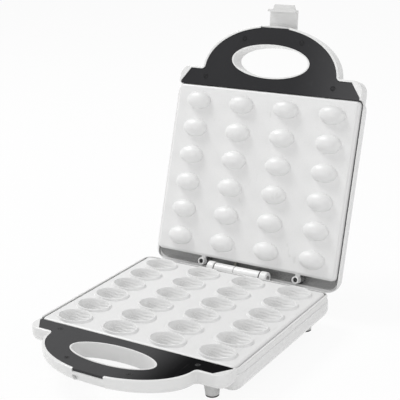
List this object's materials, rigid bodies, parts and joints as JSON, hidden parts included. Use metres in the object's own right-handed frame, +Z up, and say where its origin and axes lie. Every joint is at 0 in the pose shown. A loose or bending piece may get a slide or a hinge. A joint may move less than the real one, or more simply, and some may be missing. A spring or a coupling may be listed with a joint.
{
  "type": "nut cookie maker",
  "caption": "Countertop nut cookie maker with a hinged lid, a plate of ridged nut cups, a plate of matching bumps, looped handles and a swinging latch, shown open.",
  "frame": {"origin": "on the table under the middle of the open maker, measured by its bounding box", "axes": "+Z up, +Y from the handle to the hinge, +X to the right seen from the handle"},
  "size_m": [0.228, 0.3784, 0.3086],
  "materials": {
    "white_shell": "gloss white moulded plastic",
    "plate_coating": "white ceramic-look non-stick coating",
    "insert_panel": "satin dark grey",
    "latch_plastic": "gloss white moulded plastic",
    "hinge_steel": "turned steel",
    "screw_steel": "blackened steel",
    "zinc_screw": "zinc-plated steel",
    "foot_rubber": "matt black rubber",
    "element_sheath": "heat-dulled steel sheath",
    "clamp_steel": "galvanised strip",
    "shield_sheet": "bright sheet",
    "thermostat_body": "ceramic with a metal cup",
    "fuse_case": "metal can",
    "block_plastic": "heat-proof plastic",
    "lead_sleeve": "glass-fibre sleeved lead",
    "gland_plastic": "black nylon",
    "red_lens": "clear red",
    "green_lens": "clear green",
    "board": "glass-fibre board"
  },
  "bodies": {
    "base": {"base_shell": "white_shell", "base_plate": "plate_coating", "base_handle_insert": "insert_panel", "base_insert_screws": "screw_steel", "base_plate_screws": "zinc_screw", "foot_pad_front_left": "foot_rubber", "foot_pad_front_right": "foot_rubber", "foot_pad_rear_left": "foot_rubber", "foot_pad_rear_right": "foot_rubber", "hinge_pin": "hinge_steel", "hinge_sleeve": "hinge_steel", "base_heater": "element_sheath", "base_heater_clamps": "clamp_steel", "base_heat_shield": "shield_sheet", "thermostat": "thermostat_body", "thermal_fuse": "fuse_case", "terminal_block": "block_plastic", "cord_gland": "gland_plastic", "base_wiring": "lead_sleeve"},
    "lid": {"lid_shell": "white_shell", "lid_plate": "plate_coating", "lid_handle_insert": "insert_panel", "lid_insert_screws": "screw_steel", "lid_plate_screws": "screw_steel", "lid_heater": "element_sheath", "lid_heater_clamps": "clamp_steel", "lid_clamp_screws": "zinc_screw", "lid_heat_shield": "shield_sheet", "power_lens": "red_lens", "ready_lens": "green_lens", "lamp_board": "board", "lid_wiring": "lead_sleeve", "latch_pin": "hinge_steel"},
    "latch": {"latch": "latch_plastic"}
  },
  "joints": [
    {"name": "lid_hinge", "type": "hinge", "parent": "base", "child": "lid", "pos_m": [0, 0.07876, 0.0353], "axis": [1, 0, 0], "range_deg": [0, 107.8]},
    {"name": "latch_pivot", "type": "hinge", "parent": "lid", "child": "latch", "pos_m": [0, 0.17724, 0.27891], "axis": [1, 0, 0], "range_deg": [-12, 78]}
  ]
}
